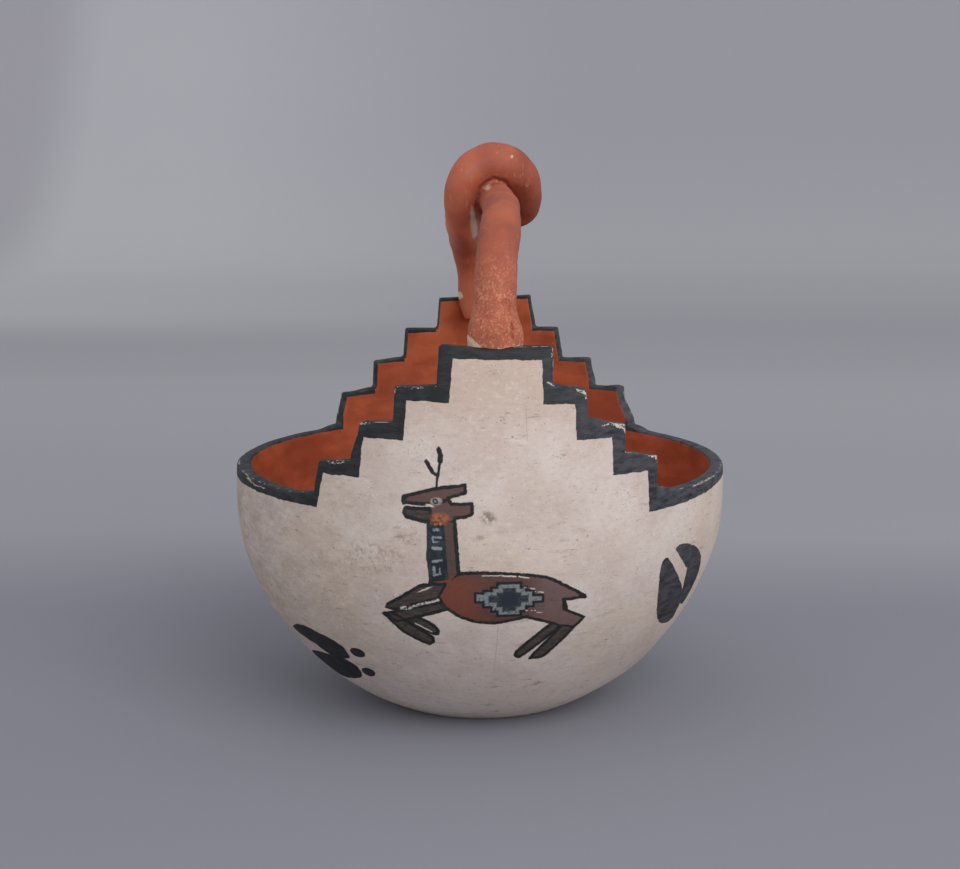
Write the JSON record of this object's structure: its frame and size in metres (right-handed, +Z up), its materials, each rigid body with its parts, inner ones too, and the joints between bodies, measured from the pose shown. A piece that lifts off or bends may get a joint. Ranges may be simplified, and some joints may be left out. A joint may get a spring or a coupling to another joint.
{
  "type": "clay pot",
  "caption": "Small hand-built clay bowl with a stepped rim rising to two peaks and a rolled clay handle looped over the middle.",
  "frame": {"origin": "middle of the flat foot, on the table", "axes": "+Z up, front peak of the rim at -Y, handle runs along Y from the front peak to the back peak, low rims at -X and +X"},
  "size_m": [0.1404, 0.1404, 0.1607],
  "materials": {
    "cream_slip_clay": "matt cream slip over fired clay, stone polished, scuffed and speckled",
    "red_clay": "matt fired red-brown clay, slightly granular"
  },
  "bodies": {
    "root": {"pot": "cream_slip_clay"}
  },
  "joints": []
}
